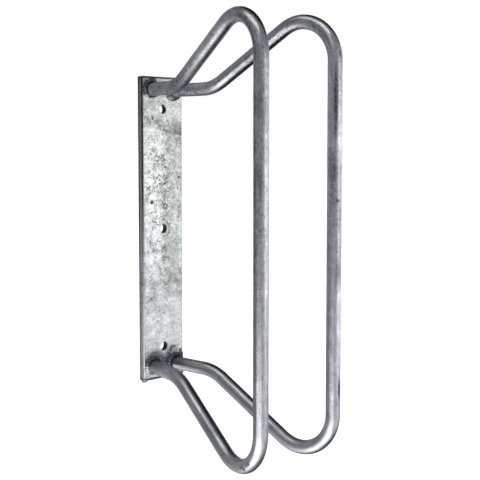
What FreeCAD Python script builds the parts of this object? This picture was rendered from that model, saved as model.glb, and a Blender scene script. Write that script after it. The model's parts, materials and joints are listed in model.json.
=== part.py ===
import FreeCAD, Part
import math
import os

import Sketcher
from FreeCAD import Vector

# Wall-mounted bike rack: a flat steel plate, bolted to a wall, carries two bent tube bows.
# The bows lean away from each other, so that a wheel pushed in between them wedges and stands.
# Frame: millimetres, +Z up, the wall is the plane y = 0 and the rack stands out towards -Y.
# The origin is the centre of the plate's back face.

SIZES = [
    ("plate_height", 370, "length of the flat bar that the plate is cut from"),
    ("plate_thickness", 10, "thickness of the flat bar"),
    ("plate_edge_round", 1.0, "rolled radius along the two long sides of the bar"),
    ("plate_end_chamfer", 0.6, "deburred edge of the two sawn ends"),
    ("hole_diameter", 10, "clearance hole for a wall bolt"),
    ("hole_drop", 23, "end hole's centre below or above the tube axes at that end"),
    ("tube_diameter", 16, "outside diameter of the bow tube"),
    ("tube_wall", 2, "wall of the bow tube"),
    ("root_gap", 17, "clear width between the two bows where they leave the plate"),
    ("side_land", 5.5, "flat left on the plate outside each tube, which takes its weld"),
    ("end_land", 8, "flat left on the plate beyond each tube, towards the plate's end"),
    ("vent_ledge", 2, "plate left inside the tube bore, round the galvanising vent hole"),
    ("splay_angle", 9, "lean of each bow away from the middle plane, in degrees"),
    ("root_run", 65, "plate face to the sharp corner of the root bend, in the bow's plane"),
    ("bow_reach", 238, "plate face to the axis of the front run, in the bow's plane"),
    ("corner_height", 540, "upper to lower sharp corner of the front run"),
    ("root_bend_radius", 60, "bend at the tube axis, where the bow leaves its root"),
    ("corner_bend_radius", 45, "bend at the tube axis, into the front run"),
    ("weld_leg", 4, "leg of the fillet weld round each tube end"),
]

# Sizes that follow from the driving ones.
TUBE_RADIUS = "(sizes.tube_diameter / 2)"
BORE_RADIUS = "(sizes.tube_diameter / 2 - sizes.tube_wall)"
PLATE_WIDTH = "(sizes.root_gap + 2 * sizes.tube_diameter + 2 * sizes.side_land)"
ROOT_OFFSET = "((sizes.root_gap + sizes.tube_diameter) / 2)"
ROOT_LEVEL = "(sizes.plate_height / 2 - sizes.end_land - sizes.tube_diameter / 2)"
CORNER_LEVEL = "(sizes.corner_height / 2)"
HOLE_PITCH = f"({ROOT_LEVEL} - sizes.hole_drop)"
MITRE_STOCK = "sizes.tube_diameter"
MITRE_REACH = "(4 * sizes.tube_diameter)"

LEFT, RIGHT = -1, 1
LOWER, UPPER = -1, 1
ORIGIN = (-1, 1)
X_AXIS, Y_AXIS = -1, -2
START, END, CENTRE = 1, 2, 3
VOLUME_TOLERANCE = 0.002

doc = FreeCAD.newDocument("wall_bike_rack")
sheet = doc.addObject("Spreadsheet::Sheet", "sizes")
for row, (alias, value, meaning) in enumerate(SIZES, start=1):
    sheet.set(f"A{row}", str(value))
    sheet.setAlias(f"A{row}", alias)
    sheet.set(f"B{row}", meaning)
doc.recompute()


def size(expression):
    """The present value of an expression in the sheet's sizes."""
    return float(sheet.evalExpression(expression.replace("sizes.", "")))


def new_body(label):
    body = doc.addObject("PartDesign::Body", label)
    body.Label = label
    return body


def new_sketch(body, name, plane):
    """A sketch on one of the body's own origin planes."""
    sketch = body.newObject("Sketcher::SketchObject", name)
    support = next(f for f in body.Origin.OriginFeatures if f.Role == plane)
    sketch.AttachmentSupport = (support, [""])
    sketch.MapMode = "FlatFace"
    return sketch


def constrain(sketch, kind, *references, to=None):
    """Adds a constraint; one that has a size is bound to an expression in the sheet's sizes."""
    if to is None:
        return sketch.addConstraint(Sketcher.Constraint(kind, *references))
    index = sketch.addConstraint(Sketcher.Constraint(kind, *references, size(to)))
    sketch.setExpression(f"Constraints[{index}]", to)
    return index


def add_polygon(sketch, points):
    """Lines through the points and back to the first, joined end to end."""
    lines = []
    for start, end in zip(points, points[1:] + points[:1]):
        lines.append(sketch.addGeometry(Part.LineSegment(Vector(*start), Vector(*end)), False))
    for line, following in zip(lines, lines[1:] + lines[:1]):
        constrain(sketch, "Coincident", line, END, following, START)
    return lines


def add_circle(sketch, x, y, radius):
    """A circle whose centre may lie on either axis; x, y and radius are expressions."""
    centre = Vector(size(x), size(y))
    circle = sketch.addGeometry(Part.Circle(centre, Vector(0, 0, 1), size(radius)), False)
    for kind, axis, offset in (("DistanceX", Y_AXIS, x), ("DistanceY", X_AXIS, y)):
        if size(offset) == 0:
            constrain(sketch, "PointOnObject", circle, CENTRE, axis)
        else:
            constrain(sketch, kind, *ORIGIN, circle, CENTRE, to=offset)
    constrain(sketch, "Radius", circle, to=radius)
    return circle


def pad_or_pocket(body, kind, name, sketch, length=None):
    """A pad of the given length, or a pocket cut both ways through everything."""
    feature = body.newObject(kind, name)
    feature.Profile = sketch
    if length:
        feature.setExpression("Length", length)
    else:
        feature.Type = "ThroughAll"
        feature.Midplane = True
    doc.recompute()
    return feature


def edges_along(shape, direction):
    """Names of the straight edges that run along a direction."""
    names = []
    for number, edge in enumerate(shape.Edges, start=1):
        tangent = edge.tangentAt(edge.FirstParameter)
        if abs(abs(tangent.dot(direction)) - 1) < 1e-6:
            names.append(f"Edge{number}")
    return names


def end_face_edges(shape):
    """Names of the edges round the plate's upper and lower ends."""
    ends = (shape.BoundBox.ZMin, shape.BoundBox.ZMax)
    names = []
    for number, edge in enumerate(shape.Edges, start=1):
        box = edge.BoundBox
        if any(abs(box.ZMin - z) < 1e-6 and abs(box.ZMax - z) < 1e-6 for z in ends):
            names.append(f"Edge{number}")
    return names


def make_wall_plate():
    """Flat bar with three bolt holes on its middle line and a vent behind each tube end."""
    body = new_body("wall_plate")
    outline = new_sketch(body, "plate_outline", "XZ_Plane")
    across, up = size(PLATE_WIDTH) / 2, size("sizes.plate_height") / 2
    bottom, right, top, left = add_polygon(
        outline, [(-across, -up), (across, -up), (across, up), (-across, up)]
    )
    for line in (bottom, top):
        constrain(outline, "Horizontal", line)
    for line in (left, right):
        constrain(outline, "Vertical", line)
    constrain(outline, "Symmetric", bottom, START, top, START, *ORIGIN)
    constrain(outline, "DistanceX", bottom, START, bottom, END, to=PLATE_WIDTH)
    constrain(outline, "DistanceY", right, START, right, END, to="sizes.plate_height")
    bar = pad_or_pocket(body, "PartDesign::Pad", "bar", outline, "sizes.plate_thickness")

    rolled = body.newObject("PartDesign::Fillet", "rolled_edges")
    rolled.Base = (bar, edges_along(bar.Shape, Vector(0, 0, 1)))
    rolled.setExpression("Radius", "sizes.plate_edge_round")
    doc.recompute()
    deburred = body.newObject("PartDesign::Chamfer", "deburred_ends")
    deburred.Base = (rolled, end_face_edges(rolled.Shape))
    deburred.setExpression("Size", "sizes.plate_end_chamfer")
    doc.recompute()

    hole = new_sketch(body, "lower_bolt_hole", "XZ_Plane")
    add_circle(hole, "0", f"-{HOLE_PITCH}", "sizes.hole_diameter / 2")
    bored = pad_or_pocket(body, "PartDesign::Pocket", "bolt_hole", hole)
    column = body.newObject("PartDesign::LinearPattern", "bolt_holes")
    column.Originals = [bored]
    column.Direction = (hole, ["V_Axis"])
    column.setExpression("Length", f"2 * {HOLE_PITCH}")
    column.Occurrences = 3
    body.Tip = column
    doc.recompute()

    vents = new_sketch(body, "vent_holes", "XZ_Plane")
    for side in ("", "-"):
        for level in ("", "-"):
            add_circle(vents, side + ROOT_OFFSET, level + ROOT_LEVEL, f"{BORE_RADIUS} - sizes.vent_ledge")
    pad_or_pocket(body, "PartDesign::Pocket", "vents", vents)
    return body


def set_root_placement(body, side, level):
    """Puts a body's X axis along the tube axis, from the point where that meets the plate."""
    base = f"vector({side} * {ROOT_OFFSET}; -sizes.plate_thickness; {level} * {ROOT_LEVEL})"
    turn = f"rotation(vector(0; 0; 1); {side} * sizes.splay_angle - 90)"
    body.setExpression("Placement", f"placement({base}; {turn})")


def trim_at_plate(body, side):
    """Cuts away what lies behind the plate's front face, which leans by the splay angle."""
    sketch = new_sketch(body, "plate_side", "XY_Plane")
    turn = f"rotation(vector(0; 0; 1); {-side} * sizes.splay_angle)"
    sketch.setExpression("AttachmentOffset", f"placement(vector(0; 0; 0); {turn})")
    reach = size(MITRE_REACH)
    bottom, front, top, back = add_polygon(
        sketch, [(-reach, -reach), (0, -reach), (0, reach), (-reach, reach)]
    )
    constrain(sketch, "Horizontal", bottom)
    constrain(sketch, "Horizontal", top)
    constrain(sketch, "Vertical", back)
    constrain(sketch, "Symmetric", front, START, front, END, *ORIGIN)
    constrain(sketch, "DistanceX", bottom, START, bottom, END, to=MITRE_REACH)
    constrain(sketch, "DistanceY", front, START, front, END, to=f"2 * {MITRE_REACH}")
    constrain(sketch, "Vertical", front)
    return pad_or_pocket(body, "PartDesign::Pocket", "mitre", sketch)


def bend(before, corner, after, radius):
    """Start, middle and end of the arc that rounds a corner between two straight runs."""
    arriving = (corner - before).normalize()
    leaving = (after - corner).normalize()
    half_turn = arriving.getAngle(leaving) / 2
    setback = radius * math.tan(half_turn)
    inward = (leaving - arriving).normalize()
    middle = corner + inward * (radius / math.cos(half_turn) - radius)
    return corner - arriving * setback, middle, corner + leaving * setback


def draw_upper_half(body):
    """Tube axis from the plate to the middle of the front run: three runs and two bends."""
    sketch = new_sketch(body, "tube_axis", "XZ_Plane")
    root = Vector(-size(MITRE_STOCK), size(ROOT_LEVEL))
    root_corner = Vector(size("sizes.root_run"), size(ROOT_LEVEL))
    front_corner = Vector(size("sizes.bow_reach"), size(CORNER_LEVEL))
    middle = Vector(size("sizes.bow_reach"), 0)
    root_bend = bend(root, root_corner, front_corner, size("sizes.root_bend_radius"))
    front_bend = bend(root_corner, front_corner, middle, size("sizes.corner_bend_radius"))
    root_run, root_arc, slope, front_arc, front_run = [
        sketch.addGeometry(curve, False)
        for curve in (
            Part.LineSegment(root, root_bend[0]),
            Part.Arc(*root_bend),
            Part.LineSegment(root_bend[2], front_bend[0]),
            Part.Arc(*front_bend),
            Part.LineSegment(front_bend[2], middle),
        )
    ]
    # The root bend turns to the left and the front bend to the right, which swaps that arc's ends.
    constrain(sketch, "Tangent", root_run, END, root_arc, START)
    constrain(sketch, "Tangent", root_arc, END, slope, START)
    constrain(sketch, "Tangent", slope, END, front_arc, END)
    constrain(sketch, "Tangent", front_arc, START, front_run, START)
    constrain(sketch, "Horizontal", root_run)
    constrain(sketch, "Vertical", front_run)
    constrain(sketch, "PointOnObject", front_run, END, X_AXIS)
    constrain(sketch, "DistanceX", root_run, START, *ORIGIN, to=MITRE_STOCK)
    constrain(sketch, "DistanceY", *ORIGIN, root_run, START, to=ROOT_LEVEL)
    constrain(sketch, "DistanceX", *ORIGIN, front_run, END, to="sizes.bow_reach")
    constrain(sketch, "Radius", root_arc, to="sizes.root_bend_radius")
    constrain(sketch, "Radius", front_arc, to="sizes.corner_bend_radius")
    for corner, runs in ((root_corner, (root_run, slope)), (front_corner, (slope, front_run))):
        point = sketch.addGeometry(Part.Point(corner), True)
        for run in runs:
            constrain(sketch, "PointOnObject", point, START, run)
        if corner is root_corner:
            constrain(sketch, "DistanceX", *ORIGIN, point, START, to="sizes.root_run")
        else:
            constrain(sketch, "DistanceY", *ORIGIN, point, START, to=CORNER_LEVEL)
    return sketch


def make_bow(label, side):
    """One tube bent flat, with four bends, mitred at both ends to sit on the plate."""
    body = new_body(label)
    axis = draw_upper_half(body)
    section = new_sketch(body, "tube_section", "YZ_Plane")
    section.setExpression("AttachmentOffset.Base.z", f"-{MITRE_STOCK}")
    add_circle(section, "0", ROOT_LEVEL, TUBE_RADIUS)
    add_circle(section, "0", ROOT_LEVEL, BORE_RADIUS)
    doc.recompute()
    tube = body.newObject("PartDesign::AdditivePipe", "bent_tube")
    tube.Profile = section
    tube.Spine = (axis, [])
    doc.recompute()
    area = math.pi * (size(TUBE_RADIUS) ** 2 - size(BORE_RADIUS) ** 2)
    expected = area * axis.Shape.Length
    print(f"{label}: half tube {tube.Shape.Volume:.1f} mm3, section times length {expected:.1f} mm3")
    if abs(tube.Shape.Volume / expected - 1) > VOLUME_TOLERANCE:
        raise ValueError(f"{label}: the swept tube doesn't have its section along its whole axis")

    whole = body.newObject("PartDesign::Mirrored", "upper_and_lower_half")
    whole.Originals = [tube]
    whole.MirrorPlane = (axis, ["H_Axis"])
    body.Tip = whole
    doc.recompute()
    trim_at_plate(body, side)
    set_root_placement(body, side, 0)
    return body


def make_weld(label, side, level):
    """Fillet weld: a ring of triangular section in the corner between a tube and the plate."""
    body = new_body(label)
    profile = new_sketch(body, "bead_section", "XZ_Plane")
    radius, leg, stock = size(TUBE_RADIUS), size("sizes.weld_leg"), size(MITRE_STOCK)
    inside, slope, base = add_polygon(
        profile, [(-stock, radius), (leg, radius), (-stock, radius + leg + stock)]
    )
    constrain(profile, "Horizontal", inside)
    constrain(profile, "Vertical", base)
    constrain(profile, "DistanceX", inside, START, *ORIGIN, to=MITRE_STOCK)
    constrain(profile, "DistanceX", *ORIGIN, inside, END, to="sizes.weld_leg")
    constrain(profile, "DistanceY", *ORIGIN, inside, START, to=TUBE_RADIUS)
    constrain(profile, "DistanceY", base, END, base, START, to=f"sizes.weld_leg + {MITRE_STOCK}")
    ring = body.newObject("PartDesign::Revolution", "bead")
    ring.Profile = profile
    ring.ReferenceAxis = (profile, ["H_Axis"])
    ring.Angle = 360
    doc.recompute()
    trim_at_plate(body, side)
    set_root_placement(body, side, level)
    return body


pieces = [make_wall_plate(), make_bow("left_bow", LEFT), make_bow("right_bow", RIGHT)]
for level_name, level in (("upper", UPPER), ("lower", LOWER)):
    for side_name, side in (("left", LEFT), ("right", RIGHT)):
        pieces.append(make_weld(f"{level_name}_{side_name}_weld", side, level))
doc.recompute()

for item in doc.Objects:
    if "Invalid" in item.State or "Error" in item.State:
        raise ValueError(f"{item.Label} didn't build: {item.State}")
for piece in pieces:
    if piece.Shape.isNull() or not piece.Shape.isValid() or len(piece.Shape.Solids) != 1:
        raise ValueError(f"{piece.Label} isn't one valid solid")

os.makedirs("parts", exist_ok=True)
for piece in pieces:
    piece.Shape.exportStep(f"parts/{piece.Label}.step")
    box = piece.Shape.BoundBox
    print(
        f"{piece.Label}: {piece.Shape.Volume:.1f} mm3,"
        f" x {box.XMin:.2f} to {box.XMax:.2f},"
        f" y {box.YMin:.2f} to {box.YMax:.2f},"
        f" z {box.ZMin:.2f} to {box.ZMax:.2f}"
    )
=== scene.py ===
import json
import math

import bpy
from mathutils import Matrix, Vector


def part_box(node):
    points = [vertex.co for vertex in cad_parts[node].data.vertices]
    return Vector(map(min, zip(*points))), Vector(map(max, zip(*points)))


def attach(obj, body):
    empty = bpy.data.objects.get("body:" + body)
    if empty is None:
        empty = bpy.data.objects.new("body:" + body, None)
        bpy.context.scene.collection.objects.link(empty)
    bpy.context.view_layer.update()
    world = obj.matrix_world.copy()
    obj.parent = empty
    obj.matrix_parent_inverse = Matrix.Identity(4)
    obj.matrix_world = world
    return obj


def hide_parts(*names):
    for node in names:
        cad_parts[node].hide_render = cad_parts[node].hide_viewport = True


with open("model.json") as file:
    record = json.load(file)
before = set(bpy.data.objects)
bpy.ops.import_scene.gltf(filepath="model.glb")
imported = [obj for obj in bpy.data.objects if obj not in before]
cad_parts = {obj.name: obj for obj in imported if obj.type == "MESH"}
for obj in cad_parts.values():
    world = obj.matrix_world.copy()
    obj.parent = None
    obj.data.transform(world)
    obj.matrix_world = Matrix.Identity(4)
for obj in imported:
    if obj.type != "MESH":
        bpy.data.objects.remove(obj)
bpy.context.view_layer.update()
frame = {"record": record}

# Wall plate. A length of 60 x 10 mm flat steel bar, punched for three wall bolts and with a vent hole
# behind each tube end. It is dipped in molten zinc with the bows already welded on, so the coat rounds its
# edges, stands up a little round the holes and is thicker along the lower end, where it ran off.
PLATE_EDGE_ROUND = 0.0018
PLATE_EDGE_STEPS = 4
PLATE_BACK_ROUND = 0.0005
PLATE_BACK_STEPS = 2
PLATE_MESH_STEP = 0.00095
SAME_PLACE = 0.00001
HOLE_SIDES = 64
HOLE_FLARE = 0.0017
VENT_RADIUS = 0.004
ROOT_X = 0.0165
ROOT_Z = 0.169
plate_low, plate_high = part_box("wall_plate")
PLATE_FRONT = plate_low.y
PLATE_MIDDLE = (plate_low + plate_high) / 2
PLATE_RIGHT = plate_high.x
PLATE_TOP = plate_high.z
mounts = {mount["name"]: mount for mount in frame["record"]["mounts"]}
bolt_sizes = mounts["wall_bolts"]["dims"]
BOLT_RADIUS = bolt_sizes["hole_r_mm"] / 1000
BOLT_Z = bolt_sizes["spacing_y_mm"] / 2000
bolt_heights = (BOLT_Z, 0.0, -BOLT_Z)


def use_modifier(piece, kind, **settings):
    """Adds one modifier to a piece, sets it and applies it."""
    modifier = piece.modifiers.new(kind.lower(), kind)
    for setting, value in settings.items():
        setattr(modifier, setting, value)
    bpy.context.view_layer.objects.active = piece
    bpy.ops.object.modifier_apply(modifier=modifier.name)


def round_edges(piece, at_back, radius, steps):
    """Rounds the plate's back edges, or all its other edges."""
    bpy.ops.object.mode_set(mode="EDIT")
    bpy.ops.mesh.select_mode(type="EDGE")
    bpy.ops.mesh.select_all(action="DESELECT")
    bpy.ops.object.mode_set(mode="OBJECT")
    corners = piece.data.vertices
    for edge in piece.data.edges:
        nearest = min(corners[end].co.y for end in edge.vertices)
        edge.select = (nearest > plate_high.y - SAME_PLACE) == at_back
    bpy.ops.object.mode_set(mode="EDIT")
    bpy.ops.mesh.bevel(offset=radius, segments=steps, affect="EDGES")
    bpy.ops.object.mode_set(mode="OBJECT")


def punch(piece, x, z, front_radius, back_radius):
    """Cuts a round hole through the plate with a bit three plates long. It may widen towards the back."""
    thickness = plate_high.y - plate_low.y
    flare = back_radius - front_radius
    bpy.ops.mesh.primitive_cone_add(
        vertices=HOLE_SIDES, radius1=back_radius + flare, radius2=front_radius - flare, depth=3 * thickness,
        location=(x, PLATE_MIDDLE.y, z), rotation=(math.pi / 2, 0, 0))
    punch_bit = bpy.context.object
    use_modifier(piece, "BOOLEAN", object=punch_bit, operation="DIFFERENCE", solver="EXACT")
    bpy.data.objects.remove(punch_bit)


def roughen(piece, name, width, layers, height):
    """Moves a piece's surface in and out in cloudy lumps of about this width and height."""
    lumpy = bpy.data.textures.new(name, "CLOUDS")
    lumpy.noise_scale = width
    lumpy.noise_depth = layers
    use_modifier(piece, "DISPLACE", texture=lumpy, strength=height, mid_level=0.5, texture_coords="LOCAL")


def hump(distance, reach):
    """A smooth rise from 0 at reach to 1 at no distance."""
    return max(0.0, 1 - (distance / reach) ** 2) ** 2


bpy.ops.object.select_all(action="DESELECT")
bpy.ops.mesh.primitive_cube_add(size=1, location=PLATE_MIDDLE, scale=plate_high - plate_low)
plate = bpy.context.object
plate.name = "zinc_plate"
bpy.ops.object.transform_apply(location=True, rotation=True, scale=True)
round_edges(plate, False, PLATE_EDGE_ROUND, PLATE_EDGE_STEPS)
round_edges(plate, True, PLATE_BACK_ROUND, PLATE_BACK_STEPS)
for bolt_z in bolt_heights:
    punch(plate, 0.0, bolt_z, BOLT_RADIUS, BOLT_RADIUS + HOLE_FLARE)
for vent_x in (-ROOT_X, ROOT_X):
    for vent_z in (-ROOT_Z, ROOT_Z):
        punch(plate, vent_x, vent_z, VENT_RADIUS, VENT_RADIUS)
use_modifier(plate, "REMESH", mode="VOXEL", voxel_size=PLATE_MESH_STEP)
roughen(plate, "slow waves", width=0.022, layers=2, height=0.00035)
roughen(plate, "dross grain", width=0.0035, layers=3, height=0.00022)

COLLAR_WIDTH = 0.0022
COLLAR_HEIGHT = 0.00035
LIP_REACH = 0.006
LIP_HEIGHT = 0.0012
for vertex in plate.data.vertices:
    for bolt_z in bolt_heights:
        from_rim = math.hypot(vertex.co.x, vertex.co.z - bolt_z) - BOLT_RADIUS
        if 0 < from_rim < COLLAR_WIDTH and vertex.co.y < PLATE_MIDDLE.y:
            vertex.co.y -= COLLAR_HEIGHT * hump(from_rim, COLLAR_WIDTH)
    vertex.co.z -= LIP_HEIGHT * hump(vertex.co.z - plate_low.z, LIP_REACH)
bpy.ops.object.select_all(action="DESELECT")
plate.select_set(True)
bpy.ops.object.shade_smooth()


def add_node(tree, kind, inputs=None, **settings):
    """Adds a shader node with its options, and fills or links its sockets."""
    node = tree.nodes.new(kind)
    for setting, value in settings.items():
        setattr(node, setting, value)
    for socket, value in (inputs or {}).items():
        if isinstance(value, bpy.types.NodeSocket):
            tree.links.new(value, node.inputs[socket])
        else:
            node.inputs[socket].default_value = value
    return node


def start_zinc(name):
    """A metal material with nothing on it yet: its tree, its shader and its Object coordinates."""
    zinc = bpy.data.materials.new(name)
    zinc.use_nodes = True
    tree = zinc.node_tree
    shader = tree.nodes["Principled BSDF"]
    shader.inputs["Metallic"].default_value = 1.0
    place = add_node(tree, "ShaderNodeTexCoord").outputs["Object"]
    return zinc, tree, shader, place


def finish_zinc(shader, colour, roughness, relief, relief_strength, relief_height):
    """Gives a metal shader its colour, its roughness and the fine relief of its surface."""
    tree = shader.id_data
    tree.links.new(colour, shader.inputs["Base Color"])
    tree.links.new(roughness, shader.inputs["Roughness"])
    bump = add_node(tree, "ShaderNodeBump", {
        "Strength": relief_strength, "Distance": relief_height, "Height": relief})
    tree.links.new(bump.outputs[0], shader.inputs["Normal"])


def split(place):
    """The three coordinates of a place."""
    axes = add_node(place.id_data, "ShaderNodeSeparateXYZ", {0: place}).outputs
    return axes["X"], axes["Y"], axes["Z"]


def spread(pattern, low, high, to_low=0.0, to_high=1.0):
    """Stretches the part of a pattern between low and high to a new range, with soft ends."""
    node = add_node(pattern.id_data, "ShaderNodeMapRange", {
        "Value": pattern, "From Min": low, "From Max": high, "To Min": to_low, "To Max": to_high,
    }, interpolation_type="SMOOTHSTEP")
    return node.outputs["Result"]


def calculate(operation, *values):
    """Calculates with patterns and numbers, of which the first is a pattern."""
    node = add_node(values[0].id_data, "ShaderNodeMath", dict(enumerate(values)), operation=operation)
    return node.outputs[0]


def times(pattern, amount):
    """Multiplies a pattern by another, or by a number."""
    return calculate("MULTIPLY", pattern, amount)


def plus(pattern, amount):
    """Adds another pattern, or a number, to a pattern."""
    return calculate("ADD", pattern, amount)


def shift(value, pattern, amount):
    """Raises a value by the amount where the pattern is full, or lowers it by a negative one."""
    return plus(value, times(pattern, amount))


def swing(pattern, amount):
    """Centres a pattern on nothing and sets how far it swings to either side."""
    return times(calculate("SUBTRACT", pattern, 0.5), amount)


def window(pattern, low, high, fade):
    """Full between low and high, and fading out over a short stretch beyond either."""
    return times(spread(pattern, low - fade, low), spread(pattern, high + fade, high))


def blotches(place, scale, detail=3.0, roughness=0.55):
    """Cloudy patches, about 1 / scale metres wide."""
    node = add_node(place.id_data, "ShaderNodeTexNoise", {
        "Vector": place, "Scale": scale, "Detail": detail, "Roughness": roughness})
    return node.outputs["Fac"]


def calculate_place(operation, *values):
    """Calculates with places, of which the first is a pattern."""
    node = add_node(values[0].id_data, "ShaderNodeVectorMath", dict(enumerate(values)), operation=operation)
    return node.outputs["Value" if operation in ("LENGTH", "DOT_PRODUCT") else "Vector"]


def wander(place, scale, reach):
    """Bends a place by cloudy offsets of about reach metres, so that patterns on it look grown."""
    clouds = add_node(place.id_data, "ShaderNodeTexNoise", {"Vector": place, "Scale": scale, "Detail": 3.0})
    offset = calculate_place("SUBTRACT", clouds.outputs["Color"], (0.5, 0.5, 0.5))
    return calculate_place("MULTIPLY_ADD", offset, (reach, reach, reach), place)


def dots(place, scale, size, share):
    """Scattered round specks, of a radius and in a share of the cells that are both from 0 to 1."""
    cells = add_node(place.id_data, "ShaderNodeTexVoronoi", {"Vector": place, "Scale": scale})
    inside = spread(cells.outputs["Distance"], size, size / 2)
    chance = add_node(place.id_data, "ShaderNodeSeparateColor", {0: cells.outputs["Color"]}).outputs[0]
    return times(inside, spread(chance, 1 - share, 1 - share + 0.02))


def stain(place, point, full, gone, squeeze=(1.0, 1.0, 1.0)):
    """A soft patch round a point, full within one distance and gone past the other."""
    offset = calculate_place("MULTIPLY", calculate_place("SUBTRACT", place, point), squeeze)
    return spread(calculate_place("LENGTH", offset), gone, full)


def on_plate(x, z):
    """A point on the plate's front."""
    return (x, PLATE_FRONT, z)


def tint(pattern, under, over, blend="MIX"):
    """Lays one colour over another by a pattern, or dyes it with the other."""
    node = add_node(pattern.id_data, "ShaderNodeMix", {0: pattern, 6: under, 7: over},
                    data_type="RGBA", blend_type=blend)
    return node.outputs[2]


PLATE_LIGHT = (0.875, 0.878, 0.881, 1)
PLATE_DULL = (0.20, 0.205, 0.21, 1)
PLATE_SPECK = (0.045, 0.045, 0.05, 1)
GREEN_DYE = (0.955, 1.0, 0.955, 1)
WARM_DYE = (1.0, 1.0, 0.965, 1)
# Painted light and shade of the plate's narrow sides, arrises and ends
FLANK_SHADE_TINT = (0.965, 0.945, 1.0, 1)
ARRIS_HIGHLIGHT = (0.97, 0.96, 1.0, 1)
EDGE_SHADE = (0.06, 0.06, 0.068, 1)
# Painted shade round the lower welds, partly weld smoke
ROOT_SHADE_AND_SMOKE = (0.10, 0.096, 0.135, 1)
# Painted shade inside the bolt holes
HOLE_SHADE = (0.008, 0.008, 0.009, 1)
plate_zinc, tree, shader, place = start_zinc("zinc on the plate")
across, depth, level = split(place)
behind_front = plus(depth, -PLATE_FRONT)

# Tones of the plate: mottle that is livelier up and to the left, and dull, dim and pale patches on it
bent = wander(place, scale=140.0, reach=0.005)
ruffled = wander(place, scale=420.0, reach=0.0022)
sheets = blotches(place, scale=26.0, detail=3.0, roughness=0.55)
patches = blotches(place, scale=95.0, detail=4.0, roughness=0.6)
mottle = blotches(bent, scale=300.0, detail=4.0, roughness=0.7)
liveliness = times(spread(level, -0.13, 0.05, 0.6, 1.0), spread(across, 0.003, 0.012, 1.0, 0.70))
tone = plus(swing(mottle, 2.5), swing(patches, 1.35))
tone = plus(times(tone, liveliness), swing(sheets, 0.7))
bent_across, _, _ = split(wander(place, scale=60.0, reach=0.016))
dull_half = times(spread(bent_across, -0.007, 0.003), window(level, -0.06, 0.112, 0.014))
tone = shift(tone, dull_half, -0.34)
dim_bands = plus(window(level, -0.027, -0.018, 0.008), window(level, -0.066, -0.053, 0.008))
tone = shift(tone, dim_bands, spread(across, -0.01, 0.024, -0.25, -0.10))
low_band = window(level, -0.082, -0.068, 0.009)
tone = shift(tone, low_band, -0.26)
dull_top = times(spread(across, 0.0, -0.022), window(level, 0.142, 0.175, 0.01))
tone = shift(tone, dull_top, -0.30)
white_patch = stain(bent, on_plate(-0.014, 0.106), full=0.008, gone=0.022, squeeze=(0.8, 1.0, 1.0))
tone = shift(tone, white_patch, 0.24)
top_patch = stain(bent, on_plate(0.003, 0.1785), full=0.003, gone=0.010, squeeze=(0.5, 1.0, 1.5))
tone = shift(tone, top_patch, 0.30)
grey_patch = stain(bent, on_plate(-0.002, 0.037), full=0.004, gone=0.014, squeeze=(1.2, 1.0, 0.6))
tone = shift(tone, grey_patch, -0.20)
low_patch = stain(bent, on_plate(-0.022, -0.089), full=0.006, gone=0.017)
tone = shift(tone, low_patch, -0.16)

# The tide that the zinc left across the plate below the upper bolt hole, lower towards the right
TIDE_SLOPE = 0.15
TIDE_Z = 0.1185
TIDE_LINE = 0.0006
tide = plus(level, times(across, TIDE_SLOPE))
tide_band = times(spread(tide, TIDE_Z + 0.0002, TIDE_Z + 0.0016), spread(tide, 0.142, 0.128))
tone = shift(tone, tide_band, spread(across, -0.03, 0.028, -0.32, -0.68))
tide_foot = times(window(level, 0.105, 0.114, 0.008), spread(across, 0.002, 0.014))
tone = shift(tone, tide_foot, -0.20)
tide_line = times(window(tide, TIDE_Z, TIDE_Z + TIDE_LINE, 0.0007), spread(across, 0.0, 0.012))

# Colour of the plate, with a green cast on the right and a warm one higher up
tone = plus(tone, spread(level, -0.095, -0.07, 0.78, 0.93))
colour = tint(tone, PLATE_DULL, PLATE_LIGHT)
green = times(spread(across, -0.001, 0.013), window(level, -0.065, 0.085, 0.03))
colour = tint(times(green, spread(sheets, 0.3, 0.6, 0.5, 1.0)), colour, GREEN_DYE, "MULTIPLY")
warm = times(spread(level, 0.0, 0.05, 0.45, 1.0), spread(behind_front, 0.0025, 0.0008))
colour = tint(warm, colour, WARM_DYE, "MULTIPLY")

# Dark squiggles, specks and pinholes, and the spots where flux stayed. A spot is across, up and its radius
FLUX_SPOTS = (
    (-0.0158, 0.136, 0.0015), (-0.0146, 0.134, 0.0015), (-0.0167, 0.0330, 0.0033), (-0.009, 0.016, 0.0013),
    (0.0245, 0.0625, 0.0019), (-0.0198, 0.0524, 0.0014), (0.024, 0.0245, 0.0013),
)
wavy = blotches(bent, scale=230.0, detail=2.0, roughness=0.5)
squiggles = times(window(wavy, 0.475, 0.525, 0.03), spread(blotches(place, scale=120.0), 0.47, 0.56))
lively_zone = times(window(across, -0.020, 0.004, 0.014), window(level, -0.02, 0.085, 0.05))
lively_zone = times(lively_zone, spread(blotches(place, scale=60.0), 0.36, 0.50))
specks = dots(bent, scale=130.0, size=0.24, share=0.17)
pinholes = dots(place, scale=330.0, size=0.30, share=0.13)
colour = tint(times(times(squiggles, lively_zone), 0.72), colour, PLATE_SPECK)
colour = tint(times(times(specks, liveliness), 0.75), colour, PLATE_SPECK)
colour = tint(times(times(pinholes, liveliness), 0.7), colour, PLATE_SPECK)
colour = tint(times(tide_line, 0.55), colour, PLATE_SPECK)
for spot_x, spot_z, spot_radius in FLUX_SPOTS:
    spot = stain(ruffled, on_plate(spot_x, spot_z), full=spot_radius / 2, gone=spot_radius)
    colour = tint(times(spot, 0.95), colour, PLATE_SPECK)
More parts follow.
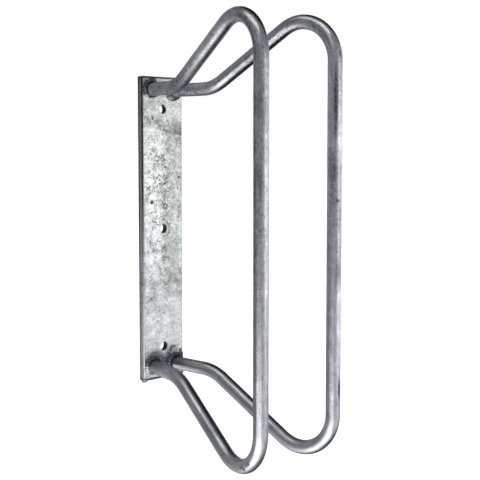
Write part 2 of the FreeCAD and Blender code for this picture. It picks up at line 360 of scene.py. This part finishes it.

# The bolt holes: painted shade inside, a dull rim, and painted shade of a raised ring beside the middle one
RAISED_RING_RADIUS = 0.0094
RAISED_RING_WIDTH = 0.0010
from_bolt = calculate("WRAP", level, BOLT_Z / 2, -BOLT_Z / 2)
hole_place = add_node(tree, "ShaderNodeCombineXYZ", {0: across, 2: from_bolt}).outputs[0]
from_hole = calculate_place("LENGTH", hole_place)
# Painted shade of a raised ring on the right of the middle hole
raised_ring_shade = times(window(from_hole, RAISED_RING_RADIUS, RAISED_RING_RADIUS + RAISED_RING_WIDTH, 0.0009),
                    spread(across, -0.003, 0.002))
raised_ring_shade = times(raised_ring_shade, window(level, -0.009, 0.012, 0.004))
colour = tint(times(raised_ring_shade, 0.65), colour, PLATE_DULL)
rim_mark = window(from_hole, BOLT_RADIUS + 0.0003, BOLT_RADIUS + 0.0009, 0.0006)
colour = tint(times(rim_mark, 0.3), colour, PLATE_DULL)
# Painted shade on the hole's wall and inner rim
hole_wall_shade = times(spread(from_hole, BOLT_RADIUS + 0.0030, BOLT_RADIUS + 0.0022),
                window(behind_front, 0.0014, 0.0090, 0.0008))
inner_rim_shade = spread(from_hole, BOLT_RADIUS + 0.0004, BOLT_RADIUS - 0.0001)
colour = tint(calculate("MAXIMUM", hole_wall_shade, inner_rim_shade), colour, HOLE_SHADE)

# Painted shade of the tubes round the lower welds, partly weld smoke, and a dull upper left corner
left_halo = stain(ruffled, on_plate(-0.013, -0.163), full=0.009, gone=0.0178, squeeze=(0.9, 1.0, 1.0))
right_halo = stain(ruffled, on_plate(0.0125, -0.160), full=0.006, gone=0.0155)
between_halo = stain(ruffled, on_plate(0.001, -0.167), full=0.006, gone=0.0125)
root_shade_halo = calculate("MAXIMUM", calculate("MAXIMUM", left_halo, right_halo), between_halo)
colour = tint(times(root_shade_halo, spread(mottle, 0.35, 0.65, 0.95, 0.75)), colour, ROOT_SHADE_AND_SMOKE)
corner_dull = stain(bent, on_plate(-0.025, 0.183), full=0.004, gone=0.012)
colour = tint(times(corner_dull, 0.5), colour, PLATE_DULL)

# The narrow sides and the ends: a bluish shade tint and painted shade on the sides, darker upwards, painted
# shade along the arrises and the ends, and a painted highlight low on the front arrises
flank = spread(calculate("ABSOLUTE", across), PLATE_RIGHT - 0.0016, PLATE_RIGHT - 0.0005)
colour = tint(flank, colour, FLANK_SHADE_TINT, "MULTIPLY")
back_arris_shade = times(spread(behind_front, 0.0060, 0.0080), spread(level, -0.16, 0.03, 0.45, 0.80))
front_arris_shade = times(spread(behind_front, 0.0036, 0.0018), spread(level, -0.06, 0.05, 0.0, 0.55))
flank_shade = plus(spread(level, -0.10, 0.08, 0.0, 0.42), plus(back_arris_shade, front_arris_shade))
colour = tint(times(flank, flank_shade), colour, EDGE_SHADE)
arris_highlight = times(spread(behind_front, 0.0040, 0.0020), spread(level, -0.05, -0.11))
colour = tint(times(times(flank, arris_highlight), 0.8), colour, ARRIS_HIGHLIGHT)
right_arris_shade = times(spread(across, PLATE_RIGHT - 0.0018, PLATE_RIGHT - 0.0007), spread(level, 0.02, -0.03))
colour = tint(times(right_arris_shade, 0.6), colour, EDGE_SHADE)
end_shade = spread(calculate("ABSOLUTE", level), PLATE_TOP - 0.0032, PLATE_TOP - 0.0014)
colour = tint(times(end_shade, 0.85), colour, EDGE_SHADE)

satin = spread(patches, 0.3, 0.7, 0.43, 0.31)
relief = shift(mottle, plus(squiggles, specks), -0.6)
finish_zinc(shader, colour, satin, relief, relief_strength=0.4, relief_height=0.0007)
plate.data.materials.append(plate_zinc)
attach(plate, "root")
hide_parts("wall_plate")

# Bows. Two lengths of 16 x 2 mm round steel tube, each cold-bent in one plane at four places, cut to lie on
# the plate and leaning 9 degrees out from the middle. One is the mirror image of the other. Their zinc is
# satin, drawn out in streaks along the tube, with small pits and dross grains, smudges and scratches.
TUBE_RADIUS = 0.008
TUBE_WALL = 0.002
TUBE_SIDES = 44
RING_STEP = 0.002
FEWEST_BEND_RINGS = 4
LEAN = math.radians(9)
ROOT_RUN = 0.065
ROOT_BEND = 0.060
FRONT_REACH = 0.238
FRONT_Z = 0.270
FRONT_BEND = 0.045
SUNK = 0.004
slope = math.atan2(FRONT_Z - ROOT_Z, FRONT_REACH - ROOT_RUN)
front_turn = slope + math.pi / 2
root_setback = ROOT_BEND * math.tan(slope / 2)
front_setback = FRONT_BEND * math.tan(front_turn / 2)
slope_run = math.hypot(FRONT_REACH - ROOT_RUN, FRONT_Z - ROOT_Z) - root_setback - front_setback
FRONT_Y = PLATE_FRONT - FRONT_REACH * math.cos(LEAN)

bow_out = Vector((-math.sin(LEAN), -math.cos(LEAN), 0))
bow_up = Vector((0, 0, 1))
bow_across = bow_up.cross(bow_out)
root_point = Vector((-ROOT_X, PLATE_FRONT, ROOT_Z)) - bow_out * SUNK
bpy.ops.object.select_all(action="DESELECT")
bpy.ops.mesh.primitive_circle_add(
    vertices=TUBE_SIDES, radius=TUBE_RADIUS, location=root_point, rotation=(math.pi / 2, 0, -LEAN))
left_tube = bpy.context.object
left_tube.name = "zinc_tube_left"
bpy.ops.object.transform_apply(location=True, rotation=True, scale=True)
bpy.ops.object.mode_set(mode="EDIT")
bpy.ops.mesh.select_all(action="SELECT")


def run_on(here, pitch, length):
    """Draws the tube straight on, ring by ring, and gives its new end."""
    heading = bow_out * math.cos(pitch) + bow_up * math.sin(pitch)
    steps = max(1, round(length / RING_STEP))
    for _ in range(steps):
        bpy.ops.mesh.extrude_edges_move(TRANSFORM_OT_translate={"value": heading * (length / steps)})
    return here + heading * length


def bend_by(here, pitch, turn, radius):
    """Bends the tube up by a positive turn or down by a negative one. Gives its new end and pitch."""
    towards_centre = bow_up * math.cos(pitch) - bow_out * math.sin(pitch)
    centre = here + towards_centre * math.copysign(radius, turn)
    steps = max(FEWEST_BEND_RINGS, round(abs(turn) * radius / RING_STEP))
    bpy.ops.mesh.spin(steps=steps, angle=turn, center=centre, axis=bow_across, dupli=False)
    pitch += turn
    towards_centre = bow_up * math.cos(pitch) - bow_out * math.sin(pitch)
    return centre - towards_centre * math.copysign(radius, turn), pitch


end = run_on(root_point, 0.0, SUNK + ROOT_RUN - root_setback)
end, pitch = bend_by(end, 0.0, slope, ROOT_BEND)
end = run_on(end, pitch, slope_run)
end, pitch = bend_by(end, pitch, -front_turn, FRONT_BEND)
end = run_on(end, pitch, 2 * (FRONT_Z - front_setback))
lower_bend_start = end
end, pitch = bend_by(end, pitch, -front_turn, FRONT_BEND)
lower_bend_end = end
end = run_on(end, pitch, slope_run)
end, pitch = bend_by(end, pitch, slope, ROOT_BEND)
run_on(end, pitch, SUNK + ROOT_RUN - root_setback)
bpy.ops.object.mode_set(mode="OBJECT")

# Each point's place on the tube, for the streaks, and the wrinkles inside the lower bend
WRINKLE_HEIGHT = 0.00035
WRINKLE_PITCH = 0.008
WRINKLE_REACH = 0.030
points = [vertex.co.copy() for vertex in left_tube.data.vertices]
rings = [points[start:start + TUBE_SIDES] for start in range(0, len(points), TUBE_SIDES)]
middles = [sum(ring, Vector()) / TUBE_SIDES for ring in rings]
on_tube = left_tube.data.attributes.new("on_tube", "FLOAT_VECTOR", "POINT")
wrinkle_middle = (lower_bend_start + lower_bend_end) / 2
travelled = 0.0
for number, ring in enumerate(rings):
    middle = middles[number]
    ahead = middles[min(number + 1, len(rings) - 1)] - middles[max(number - 1, 0)]
    to_inside = bow_across.cross(ahead.normalized())
    if number:
        travelled += (middle - middles[number - 1]).length
    wrinkle = WRINKLE_HEIGHT * hump((middle - wrinkle_middle).length, WRINKLE_REACH)
    wrinkle *= math.sin(math.tau * travelled / WRINKLE_PITCH)
    for corner, point in enumerate(ring):
        spoke = point - middle
        inward = spoke.dot(to_inside)
        vertex = left_tube.data.vertices[number * TUBE_SIDES + corner]
        on_tube.data[vertex.index].vector = (inward, spoke.dot(bow_across), travelled)
        vertex.co += spoke.normalized() * wrinkle * max(0.0, inward / TUBE_RADIUS) ** 2

# The ends are cut flush with the plate, then the tube gets its wall
SMOOTH_BELOW = math.radians(50)
bpy.ops.object.mode_set(mode="EDIT")
bpy.ops.mesh.select_all(action="SELECT")
bpy.ops.mesh.bisect(plane_co=(0, PLATE_FRONT, 0), plane_no=(0, 1, 0), clear_outer=True)
bpy.ops.mesh.select_all(action="SELECT")
bpy.ops.mesh.remove_doubles(threshold=SAME_PLACE)
bpy.ops.mesh.normals_make_consistent(inside=False)
bpy.ops.object.mode_set(mode="OBJECT")
use_modifier(left_tube, "SOLIDIFY", thickness=TUBE_WALL, offset=-1, use_rim=True)
roughen(left_tube, "tube waves", width=0.014, layers=1, height=0.0002)
bpy.ops.object.shade_smooth_by_angle(angle=SMOOTH_BELOW)

# The right bow is a mirrored copy. Its streaks start further along, so that they differ from the left one's
RIGHT_TUBE_STREAKS = 2.0
bpy.ops.object.select_all(action="DESELECT")
left_tube.select_set(True)
bpy.context.view_layer.objects.active = left_tube
bpy.ops.object.duplicate()
right_tube = bpy.context.object
right_tube.name = "zinc_tube_right"
bpy.ops.object.mode_set(mode="EDIT")
bpy.ops.mesh.select_all(action="SELECT")
bpy.ops.transform.resize(value=(-1, 1, 1), center_override=(0, 0, 0))
bpy.ops.mesh.flip_normals()
bpy.ops.object.mode_set(mode="OBJECT")
for place_on_tube in right_tube.data.attributes["on_tube"].data:
    place_on_tube.vector.z += RIGHT_TUBE_STREAKS


def drawn_out(along, share):
    """Slows a pattern down along the tube, so that its patches are drawn out lengthwise."""
    node = add_node(along.id_data, "ShaderNodeMapping", {"Vector": along, "Scale": (1.0, 1.0, share)})
    return node.outputs[0]


TUBE_LIGHT = (0.90, 0.902, 0.938, 1)
TUBE_DULL = (0.19, 0.19, 0.211, 1)
TUBE_PIT = (0.03, 0.03, 0.035, 1)
# Painted shade on the lower tubes near the welds
TUBE_ROOT_SHADE = (0.045, 0.043, 0.058, 1)
ASH_DARK = (0.16, 0.19, 0.21, 1)
ASH_LIGHT = (0.58, 0.64, 0.68, 1)
tube_zinc, tree, shader, place = start_zinc("zinc on the tubes")
across, depth, level = split(place)
along = add_node(tree, "ShaderNodeAttribute", attribute_name="on_tube").outputs["Vector"]
inwards, sideways, _ = split(along)

# Where on the bows a tone lies. Foremost is the narrow face that looks straight away from the wall
upper = spread(level, -0.02, 0.02)
lower = spread(level, 0.0, -0.02)
left = spread(across, 0.004, -0.004)
right = spread(left, 1.0, 0.0)
inner_side = spread(inwards, -0.002, 0.006)
front = spread(depth, FRONT_Y + 0.045, FRONT_Y + 0.025)
foremost = spread(depth, FRONT_Y - 0.0062, FRONT_Y - 0.0072)
beside = times(front, spread(foremost, 1.0, 0.0))
slope_band = times(upper, window(depth, FRONT_Y + 0.080, FRONT_Y + 0.125, 0.025))
low_bend = times(spread(level, -0.185, -0.205), spread(depth, FRONT_Y + 0.080, FRONT_Y + 0.050))
arch = times(spread(level, 0.19, 0.215), spread(depth, FRONT_Y + 0.040, FRONT_Y + 0.020))
from_root = shift(shift(depth, across, -0.65), lower, -0.03)
root_end = spread(from_root, PLATE_FRONT - 0.106, PLATE_FRONT - 0.060)
# Near the plate the zinc is matter, and its colour is darker there as painted shade
matte_and_shaded_end = times(calculate("MAXIMUM", upper, left), root_end)

# Streaks, stains and grain along the tubes, and the tones of the legs, with painted shade near the plate
# and on the underside of the right bow's upper slope
streaks = blotches(drawn_out(along, 0.15), scale=330.0, detail=3.0, roughness=0.6)
stains = blotches(drawn_out(along, 0.5), scale=70.0, detail=4.0, roughness=0.6)
speckle = blotches(along, scale=330.0, detail=3.0, roughness=0.65)
graininess = spread(level, -0.06, 0.06, 0.5, 1.1)
tone = plus(swing(streaks, 0.7), swing(stains, 0.9))
tone = shift(tone, swing(speckle, 1.1), graininess)
# Painted shade near the plate, darkest on the underside of the upper runs
tone = plus(tone, spread(matte_and_shaded_end, 0.0, 1.0, 0.5, 0.44))
tone = shift(tone, times(times(matte_and_shaded_end, upper), inner_side), -0.26)
tone = shift(tone, times(root_end, lower), spread(left, 0.0, 1.0, 0.34, 0.13))
tone = shift(tone, low_bend, 0.13)
tone = shift(tone, times(slope_band, left), 0.10)
# Painted shade on the underside of the right bow's upper slope, where it dims the highlight
shaded_belly = times(times(slope_band, inner_side), right)
tone = shift(tone, shaded_belly, -0.34)
bend_mark = times(times(upper, left), window(depth, PLATE_FRONT - 0.080, PLATE_FRONT - 0.064, 0.012))
tone = shift(tone, bend_mark, -0.18)

# Tones of the front runs: pale bands, dim and bright stretches, painted shade along the left bow's edges,
# and smudges
SMUDGES = (
    ((-0.0594, -0.2505, 0.1415), -0.24),
    ((-0.0592, -0.2505, 0.0696), -0.18),
    ((0.0470, -0.2505, 0.0720), -0.26),
)
right_bands = times(window(level, 0.105, 0.20, 0.02), 0.36)
right_bands = shift(right_bands, window(level, -0.10, 0.06, 0.03), 0.11)
left_bands = times(window(level, 0.09, 0.20, 0.02), 0.13)
left_bands = plus(left_bands, spread(level, 0.05, -0.02, 0.0, 0.09))
front_bands = plus(times(right_bands, right), times(left_bands, left))
tone = shift(tone, front_bands, beside)
dim_front = times(foremost, window(level, -0.035, 0.062, 0.025))
tone = shift(tone, dim_front, spread(left, 0.0, 1.0, -0.20, -0.05))
bright_front = plus(window(level, -0.13, -0.07, 0.02), window(level, 0.095, 0.135, 0.018))
tone = shift(tone, times(times(foremost, right), bright_front), 0.16)
# Painted shade along both edges of the left bow's front run, darkest on the side towards the right bow
right_edge_shade = spread(sideways, 0.0046, 0.0064)
left_edge_shade = spread(sideways, -0.0073, -0.0079)
edge_shades = plus(times(right_edge_shade, -0.45), times(left_edge_shade, -0.30))
tone = shift(tone, edge_shades, times(front, left))
smeared = wander(place, scale=90.0, reach=0.008)
for smudge, smudge_tone in SMUDGES:
    smudge_mark = stain(smeared, smudge, full=0.003, gone=0.013, squeeze=(1.0, 1.0, 0.7))
    tone = shift(tone, times(smudge_mark, beside), smudge_tone)
colour = tint(tone, TUBE_DULL, TUBE_LIGHT)

# Pits, painted shade on the top of the lower tubes near the welds, creases inside the left bow's lower
# bend, scratches, and ash below the lower left weld. A crease is its place and size, a scratch its place,
# squeeze and darkness
CREASES = (
    ((-0.0598, -0.2324, -0.2255), 0.0032),
    ((-0.0592, -0.2290, -0.2285), 0.0022),
    ((-0.0575, -0.2235, -0.2335), 0.0036),
    ((-0.0585, -0.2195, -0.2325), 0.0026),
)
SCRATCHES = (
    ((0.0549, -0.2530, -0.162), (0.7, 0.7, 0.10), 1.0),
    ((0.0485, -0.2513, 0.148), (0.5, 0.5, 0.028), 0.85),
    ((0.0513, -0.2526, 0.0430), (0.6, 0.6, 0.6), 1.0),
)
pits = dots(along, scale=110.0, size=0.12, share=0.10)
colour = tint(times(pits, 0.9), colour, TUBE_PIT)
# Painted shade on the top of the lower tubes near the plate
root_top_shade = times(spread(depth, PLATE_FRONT - 0.052, PLATE_FRONT - 0.016), lower)
colour = tint(times(times(root_top_shade, inner_side), 0.50), colour, TUBE_ROOT_SHADE)
crumpled = wander(place, scale=500.0, reach=0.002)
for crease, crease_size in CREASES:
    crease_mark = stain(crumpled, crease, full=0.3 * crease_size, gone=crease_size)
    colour = tint(times(crease_mark, 0.7), colour, TUBE_PIT)
scraped = wander(place, scale=300.0, reach=0.0008)
for scratch, scratch_squeeze, darkness in SCRATCHES:
    scratch_mark = stain(scraped, scratch, full=0.0006, gone=0.0016, squeeze=scratch_squeeze)
    scratch_mark = times(scratch_mark, spread(speckle, 0.40, 0.56, 0.5, 1.0))
    colour = tint(times(scratch_mark, darkness), colour, TUBE_PIT)
near_weld = times(spread(depth, PLATE_FRONT - 0.030, PLATE_FRONT - 0.020), spread(level, -0.1685, -0.1725))
ash = spread(blotches(place, scale=480.0, detail=4.0, roughness=0.7), 0.40, 0.62)
colour = tint(times(times(near_weld, left), 0.85), colour, tint(ash, ASH_DARK, ASH_LIGHT))

satin = plus(spread(stains, 0.3, 0.7, 0.34, 0.24), times(matte_and_shaded_end, 0.28))
satin = shift(satin, times(slope_band, left), 0.05)
satin = shift(satin, low_bend, 0.08)
satin = shift(satin, arch, -0.07)
relief = shift(times(shift(speckle, streaks, 0.5), graininess), pits, -1.0)
finish_zinc(shader, colour, satin, relief, relief_strength=0.3, relief_height=0.0005)
for tube, node in ((left_tube, "left_bow"), (right_tube, "right_bow")):
    tube.data.materials.append(tube_zinc)
    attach(tube, "root")
    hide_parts(node)

# Welds. A hand-laid fillet weld runs round each tube end, in overlapping ripples, with a thicker lump where
# the bead started and stopped. The zinc over it is dark, rough on the upper left weld and smoother on the
# others, with painted shade in its groove along the tube, painted light on two lumps and spatter in places.
BEAD_LEG = 0.0045
BEAD_RING = 0.0081
BEAD_INSIDE = 0.3
BEAD_FLATTEN = 0.14
BEAD_STEPS_ROUND = 144
BEAD_STEPS_ACROSS = 28
BEAD_RIPPLES = 22
RIPPLE_LOW = 0.92
RIPPLE_RISE = 0.14
RIPPLE_WAVER = 0.5
RIPPLE_WAVERS = 3
WELD_LIGHT = (0.30, 0.30, 0.325, 1)
WELD_DARK = (0.045, 0.044, 0.052, 1)
# Painted shade in the groove along the tube
WELD_GROOVE_SHADE = (0.015, 0.015, 0.02, 1)
WELD_SPATTER = (0.85, 0.87, 0.90, 1)
# Painted light on two weld lumps
WELD_LUMP_LIGHT = (0.52, 0.51, 0.56, 1)
WELD_SMOOTH = (0.20, 0.195, 0.235, 1)
LUMP_LIGHT_SPOTS = ((-0.0150, 0.1797), (0.0105, 0.1585))
weld_zinc, tree, shader, place = start_zinc("zinc on the welds")
across, _, level = split(place)
crust = blotches(place, scale=420.0, detail=5.0, roughness=0.65)
colour = tint(spread(crust, 0.35, 0.70), WELD_DARK, WELD_LIGHT)
smooth = calculate("MAXIMUM", spread(across, -0.003, 0.003), spread(level, 0.02, -0.02))
colour = tint(times(smooth, 0.6), colour, WELD_SMOOTH)
# Painted shade in the groove where the bead meets the tube, less where a lump fills it
by_tube = add_node(tree, "ShaderNodeAttribute", attribute_name="groove").outputs["Fac"]
filled = stain(place, on_plate(0.0145, 0.159), full=0.005, gone=0.009, squeeze=(1.0, 0.5, 1.0))
groove_shade = times(spread(by_tube, 0.80, 0.98, 0.0, 0.9), spread(filled, 0.0, 1.0, 1.0, 0.15))
colour = tint(groove_shade, colour, WELD_GROOVE_SHADE)
# Painted light on the crests of two weld lumps
for lump_x, lump_z in LUMP_LIGHT_SPOTS:
    lump_light = stain(place, on_plate(lump_x, lump_z), full=0.001, gone=0.0045, squeeze=(1.0, 0.3, 1.0))
    colour = tint(times(lump_light, spread(crust, 0.35, 0.6, 0.35, 0.75)), colour, WELD_LUMP_LIGHT)
lower_bare = stain(place, on_plate(-0.0275, -0.174), full=0.004, gone=0.009)
upper_bare = stain(place, on_plate(-0.0235, 0.1625), full=0.0015, gone=0.004)
bare = calculate("MAXIMUM", lower_bare, upper_bare)
spatter = times(bare, spread(blotches(place, scale=330.0, detail=3.0, roughness=0.6), 0.38, 0.55, 0.4, 1.0))
colour = tint(spatter, colour, WELD_SPATTER)
crust_roughness = spread(crust, 0.3, 0.7, 0.60, 0.40)
crust_relief = times(crust, spread(smooth, 0.0, 1.0, 1.0, 0.35))
finish_zinc(shader, colour, crust_roughness, crust_relief, relief_strength=0.6, relief_height=0.0008)


def lay_bead(name, side, height, lumps):
    """Lays one fillet weld round a tube end. A lump is (angle round the tube, half width, reach, rise): the
    angles in degrees from the plate's right edge and up, the reach along the plate and the rise off it in
    shares of the bead's leg."""
    bpy.ops.object.select_all(action="DESELECT")
    middle = Vector((side * ROOT_X, PLATE_FRONT, height))
    bpy.ops.mesh.primitive_torus_add(
        location=middle, rotation=(math.pi / 2, 0, 0), major_radius=BEAD_RING, minor_radius=BEAD_LEG,
        major_segments=BEAD_STEPS_ROUND, minor_segments=BEAD_STEPS_ACROSS)
    bead = bpy.context.object
    bead.name = name
    bpy.ops.object.transform_apply(location=True, rotation=True, scale=True)
    groove = bead.data.attributes.new("groove", "FLOAT", "POINT")
    for vertex in bead.data.vertices:
        spoke = vertex.co - middle
        angle = math.atan2(spoke.z, spoke.x)
        radial = Vector((math.cos(angle), 0, math.sin(angle)))
        waver = RIPPLE_WAVER * math.sin(RIPPLE_WAVERS * angle)
        reach = RIPPLE_LOW + RIPPLE_RISE * abs(math.sin(angle * BEAD_RIPPLES / 2 + waver))
        rise = reach
        for lump_angle, half_width, lump_reach, lump_rise in lumps:
            off = math.degrees(angle) - lump_angle
            off = abs((off + 180) % 360 - 180)
            reach += lump_reach * hump(off, half_width)
            rise += lump_rise * hump(off, half_width)
        outward = spoke.dot(radial) - BEAD_RING
        raised = -spoke.y
        climb = math.atan2(raised, outward)
        flatten = 1 - BEAD_FLATTEN * math.sin(2 * climb) ** 2
        outward *= reach * flatten if outward > 0 else BEAD_INSIDE
        raised *= rise * flatten if raised > 0 else BEAD_INSIDE
        along_tube = Vector((side * raised * math.tan(LEAN), -raised, 0))
        vertex.co = middle + radial * (BEAD_RING + outward) + along_tube
        groove.data[vertex.index].value = max(0.0, math.sin(climb))
    roughen(bead, "weld crust", width=0.0028, layers=3, height=0.0007)
    bpy.ops.object.shade_smooth()
    bead.data.materials.append(weld_zinc)
    return bead


THIN_BELOW = (273, 74, -0.62, -0.62)
WELDS = (
    ("zinc_weld_upper_left", "upper_left_weld", -1, ROOT_Z,
     ((82, 36, 0.55, 0.4), (150, 40, 0.1, 0.1), THIN_BELOW)),
    ("zinc_weld_upper_right", "upper_right_weld", 1, ROOT_Z,
     ((247, 36, 0.25, 0.25), (60, 30, 0.2, 0.2))),
    ("zinc_weld_lower_left", "lower_left_weld", -1, -ROOT_Z,
     ((185, 30, -0.12, -0.12), THIN_BELOW)),
    ("zinc_weld_lower_right", "lower_right_weld", 1, -ROOT_Z,
     ((105, 36, 0.6, 0.1), (40, 34, 0.5, 0.1), (-70, 50, -0.4, -0.4))),
)
for name, node, side, height, lumps in WELDS:
    bead = lay_bead(name, side, height, lumps)
    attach(bead, "root")
    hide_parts(node)

# Drops of zinc. Where the molten zinc ran off or caught on the welds it froze in small lumps, beside the
# lower tubes and at the plate's lower corner. Each drop here is its place and its half sizes.
# Painted light and shade on the drops
DROP_PAINTED_LIGHT = (0.72, 0.72, 0.75, 1)
DROP_PAINTED_SHADE = (0.07, 0.07, 0.08, 1)
MOUND_PAINTED_SHADE = (0.29, 0.285, 0.32, 1)
MOUND = (0.0150, -0.0100, -0.1530)
HANGING_DROP = (-0.0295, -0.0076, -0.1858)
DROPS = (
    (MOUND, (0.0056, 0.0026, 0.0066)),
    ((0.0265, -0.0100, -0.1550), (0.0022, 0.0018, 0.0026)),
    ((0.0285, -0.0095, -0.1592), (0.0018, 0.0017, 0.0021)),
    ((0.0295, -0.0080, -0.1625), (0.0016, 0.0016, 0.0018)),
    ((0.0252, -0.0100, -0.1795), (0.0036, 0.0026, 0.0034)),
    ((0.0290, -0.0090, -0.1825), (0.0021, 0.0021, 0.0026)),
    (HANGING_DROP, (0.0018, 0.0036, 0.0026)),
    ((-0.0272, -0.0092, -0.1856), (0.0030, 0.0022, 0.0018)),
)
DROP_FINENESS = 4
bpy.ops.object.select_all(action="DESELECT")
frozen = []
for drop_place, drop_size in DROPS:
    bpy.ops.mesh.primitive_ico_sphere_add(
        subdivisions=DROP_FINENESS, radius=1, location=drop_place, scale=drop_size)
    bpy.ops.object.transform_apply(location=True, rotation=True, scale=True)
    frozen.append(bpy.context.object)
for drop in frozen:
    drop.select_set(True)
bpy.context.view_layer.objects.active = frozen[0]
bpy.ops.object.join()
drops = bpy.context.object
drops.name = "zinc_drops"
bpy.ops.object.origin_set(type="ORIGIN_CURSOR")
roughen(drops, "drop lumps", width=0.0025, layers=2, height=0.0008)
bpy.ops.object.shade_smooth()
drop_zinc, _, shader, place = start_zinc("zinc on the drops")
_, depth, _ = split(place)
lumpiness = blotches(place, scale=360.0, detail=4.0, roughness=0.65)
# The drops' colour paints shade at their foot and light on their crests, with paler shade and less light on
# the mound
lit_crest = times(spread(depth, -0.0102, -0.0122), spread(lumpiness, 0.36, 0.60, 0.55, 1.0))
hanging = stain(place, HANGING_DROP, full=0.006, gone=0.009)
lit_crest = calculate("MAXIMUM", lit_crest, times(hanging, 0.85))
mound = stain(place, MOUND, full=0.006, gone=0.008)
lit_crest = times(lit_crest, spread(mound, 0.0, 1.0, 1.0, 0.28))
colour = tint(lit_crest, tint(mound, DROP_PAINTED_SHADE, MOUND_PAINTED_SHADE), DROP_PAINTED_LIGHT)
drop_roughness = spread(lumpiness, 0.3, 0.7, 0.45, 0.28)
finish_zinc(shader, colour, drop_roughness, lumpiness, relief_strength=0.5, relief_height=0.0008)
drops.data.materials.append(drop_zinc)
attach(drops, "root")

# Studio. A plain pale floor below the rack and a white surround. The zinc mirrors four soft panels, in
# front on the right, at the right side, low on the left and overhead, and a dim room with paler and darker
# parts.
FLOOR_Z = -0.40
FLOOR_SIZE = 30
WHITE = (1, 1, 1, 1)
bpy.ops.object.select_all(action="DESELECT")
bpy.ops.mesh.primitive_plane_add(size=FLOOR_SIZE, location=(0, 0, FLOOR_Z))
floor = bpy.context.object
floor.name = "studio_floor"
floor.visible_glossy = False
floor.visible_diffuse = False
floor.visible_shadow = False
floor_paint = bpy.data.materials.new("pale floor")
floor_paint.use_nodes = True
floor_shader = floor_paint.node_tree.nodes["Principled BSDF"]
floor_shader.inputs["Base Color"].default_value = WHITE
floor_shader.inputs["Emission Color"].default_value = WHITE
floor_shader.inputs["Emission Strength"].default_value = 1.0
floor.data.materials.append(floor_paint)


def towards(azimuth, elevation):
    """The direction of a place round the rack, from two angles in degrees. Azimuth 0 is straight in front,
    and positive to the right."""
    azimuth = math.radians(azimuth)
    elevation = math.radians(elevation)
    return Vector((math.sin(azimuth) * math.cos(elevation), -math.cos(azimuth) * math.cos(elevation),
                   math.sin(elevation)))


room = bpy.data.worlds.new("studio room")
bpy.context.scene.world = room
room.use_nodes = True
room_tree = room.node_tree
looking = add_node(room_tree, "ShaderNodeTexCoord").outputs["Generated"]


def room_patch(azimuth, elevation, full, gone):
    """A round patch of the room, full within one angle and gone past the other."""
    nearness = calculate_place("DOT_PRODUCT", looking, towards(azimuth, elevation))
    return spread(nearness, math.cos(math.radians(gone)), math.cos(math.radians(full)))


# A part of the room is azimuth, elevation, the angles where it is full and gone, and then the light that a
# glow adds or the share of light that a shade leaves
ROOM_GREY = 0.25
ROOM_TINT = (0.98, 1.0, 1.06, 1)
ROOM_GLOWS = (
    (-124, -65, 8, 36, 0.52),
    (18, -18, 12, 48, 0.42),
    (108, -4, 15, 45, 0.27),
    (-67, 34, 4, 20, 0.38),
    (-165, -50, 10, 55, 0.13),
    (-17, -24, 5, 17, 0.25),
)
ROOM_SHADES = (
    (112, 44, 16, 41, 0.0),
    (102, -61, 22, 42, 0.0),
    (-75, 0, 16, 50, 0.7),
    (175, 58, 10, 36, 0.6),
)
room_light = ROOM_GREY
for azimuth, elevation, full, gone, glow in ROOM_GLOWS:
    room_light = plus(times(room_patch(azimuth, elevation, full, gone), glow), room_light)
for azimuth, elevation, full, gone, left_over in ROOM_SHADES:
    shade = room_patch(azimuth, elevation, full, gone)
    room_light = times(room_light, spread(shade, 0.0, 1.0, 1.0, left_over))
dark_room = add_node(room_tree, "ShaderNodeBackground", {"Color": ROOM_TINT, "Strength": room_light})
white_room = add_node(room_tree, "ShaderNodeBackground", {"Color": WHITE})
to_camera = add_node(room_tree, "ShaderNodeLightPath").outputs["Is Camera Ray"]
either = add_node(room_tree, "ShaderNodeMixShader", {
    0: to_camera, 1: dark_room.outputs[0], 2: white_room.outputs[0]})
room_tree.links.new(either.outputs[0], room_tree.nodes["World Output"].inputs["Surface"])

PANEL_DISTANCE = 2.4


def hang_panel(name, azimuth, elevation, half_width, half_height, radiance):
    """A soft flat light aimed at the rack, as wide and high as the two half angles say."""
    width = 2 * PANEL_DISTANCE * math.tan(math.radians(half_width))
    height = 2 * PANEL_DISTANCE * math.tan(math.radians(half_height))
    lamp = bpy.data.lights.new(name, "AREA")
    lamp.shape = "RECTANGLE"
    lamp.size = width
    lamp.size_y = height
    lamp.energy = radiance * math.pi * width * height
    panel = bpy.data.objects.new(name, lamp)
    bpy.context.scene.collection.objects.link(panel)
    panel.location = towards(azimuth, elevation) * PANEL_DISTANCE
    panel.rotation_euler = towards(azimuth, elevation).to_track_quat("Z", "Y").to_euler()
    panel.visible_camera = False


hang_panel("key panel", 50, -4, half_width=38, half_height=11.5, radiance=0.94)
hang_panel("side panel", 106, 3, half_width=18, half_height=7, radiance=0.62)
hang_panel("bounce panel", -66, -45, half_width=34, half_height=29, radiance=1.46)
hang_panel("overhead panel", -80, 68, half_width=29, half_height=13, radiance=1.0)

# Camera. It stands at the photograph's viewing angle, to the left and a little above the middle, and its
# shift keeps the plate's edges upright with the whole rack in a square frame.
CAMERA_AZIMUTH = -41.47
CAMERA_ELEVATION = 4.08
CAMERA_DISTANCE = 1.1287
CAMERA_TARGET = Vector((0.0463, -0.100, 0.0230))
CAMERA_LENS = 71.26
CAMERA_SENSOR = 36
CAMERA_SHIFT = -0.0583
view = bpy.data.cameras.new("photo view")
view.lens = CAMERA_LENS
view.sensor_width = CAMERA_SENSOR
view.shift_y = CAMERA_SHIFT
camera = bpy.data.objects.new("photo view", view)
bpy.context.scene.collection.objects.link(camera)
to_photographer = towards(CAMERA_AZIMUTH, CAMERA_ELEVATION)
camera.location = CAMERA_TARGET + to_photographer * CAMERA_DISTANCE
camera.rotation_euler = to_photographer.to_track_quat("Z", "Y").to_euler()
bpy.context.scene.camera = camera
bpy.context.scene.view_settings.view_transform = "Standard"
